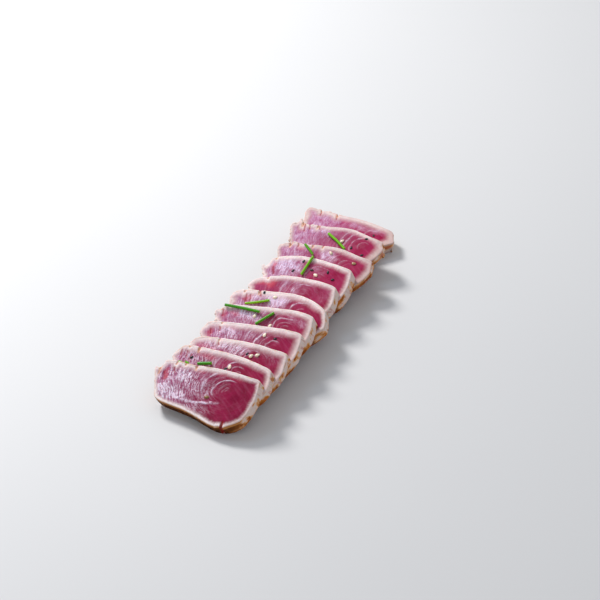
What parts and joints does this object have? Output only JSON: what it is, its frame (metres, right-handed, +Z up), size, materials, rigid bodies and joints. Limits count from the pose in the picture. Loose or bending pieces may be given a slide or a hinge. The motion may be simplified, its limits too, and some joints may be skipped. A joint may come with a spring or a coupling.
{
  "type": "tuna tataki",
  "caption": "Seared tuna loin cut in thick slices that lean on one another in a row, red inside with a pale cooked rim, topped with cut chives and sesame seeds.",
  "frame": {"origin": "middle of the row's underside, on the surface that it lies on", "axes": "+Z up, +Y along the row from the front slice to the slice that lies flat at the back, +X across the slices towards their blunt right-hand ends"},
  "size_m": [0.0938, 0.2528, 0.0299],
  "materials": {
    "tuna": "wet cut flesh, magenta red with a pale beige pink cooked rim and skin",
    "chive": "fresh green, satin"
  },
  "bodies": {
    "root": {"slice_01": "tuna", "slice_02": "tuna", "slice_03": "tuna", "slice_04": "tuna", "slice_05": "tuna", "slice_06": "tuna", "slice_07": "tuna", "slice_08": "tuna", "slice_09": "tuna", "slice_10": "tuna", "slice_11": "tuna", "chive_01": "chive", "chive_02": "chive", "chive_03": "chive", "chive_04": "chive", "chive_05": "chive", "chive_06": "chive", "chive_07": "chive", "chive_08": "chive", "chive_09": "chive"}
  },
  "joints": []
}
